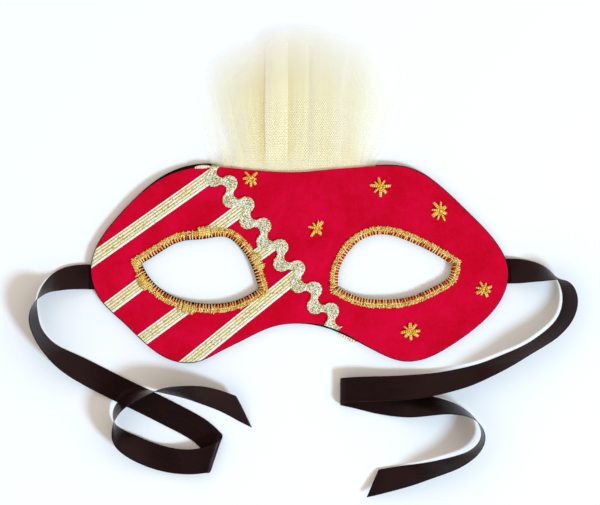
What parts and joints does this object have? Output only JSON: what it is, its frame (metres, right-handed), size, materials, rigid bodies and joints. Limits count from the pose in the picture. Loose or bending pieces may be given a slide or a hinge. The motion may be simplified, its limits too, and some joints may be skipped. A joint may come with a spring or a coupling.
{
  "type": "venetian masquerade mask",
  "caption": "Fabric half mask with stitched eye holes, metallic stripes, wavy braid, embroidered stars, a gathered net fan on the brow and flat tie ribbons.",
  "frame": {"origin": "middle of the nose bridge, on the back of the lining", "axes": "+X to the right across the mask seen from the front, +Y up towards the forehead, +Z out of the front"},
  "size_m": [0.2769, 0.2368, 0.0152],
  "materials": {
    "red_felt": "napped",
    "interfacing": "matte",
    "black_lining": "napped",
    "gold_thread": "metallic thread",
    "gold_lame": "metallic weave",
    "cream_braid": "plaited",
    "tulle_net": "sheer net",
    "black_satin": "satin"
  },
  "bodies": {
    "mask": {"front_panel": "red_felt", "stiffener_core": "interfacing", "lining": "black_lining", "eye_stitching_right": "gold_thread", "eye_stitching_left": "gold_thread", "ribbon_tab_right": "black_satin", "ribbon_tab_left": "black_satin", "tulle_heading": "tulle_net", "stripe_1": "gold_lame", "stripe_2_lower": "gold_lame", "stripe_2_upper": "gold_lame", "stripe_3_lower": "gold_lame", "stripe_3_upper": "gold_lame", "stripe_4": "gold_lame", "rickrack_braid": "cream_braid", "star_brow_middle": "gold_thread", "star_nose_bridge": "gold_thread", "star_brow_right": "gold_thread", "star_temple": "gold_thread", "star_cheek_side": "gold_thread", "star_cheek": "gold_thread", "tie_ribbon_left": "black_satin", "tie_ribbon_right": "black_satin"},
    "tulle_fan": {"tulle_layer_back": "tulle_net", "tulle_layer_middle": "tulle_net", "tulle_layer_front": "tulle_net"}
  },
  "joints": [
    {"name": "fan_tilt", "type": "hinge", "parent": "mask", "child": "tulle_fan", "pos_m": [0, 0.0436, 0.0017], "axis": [1, 0, 0], "range_deg": [-90, 90]}
  ]
}
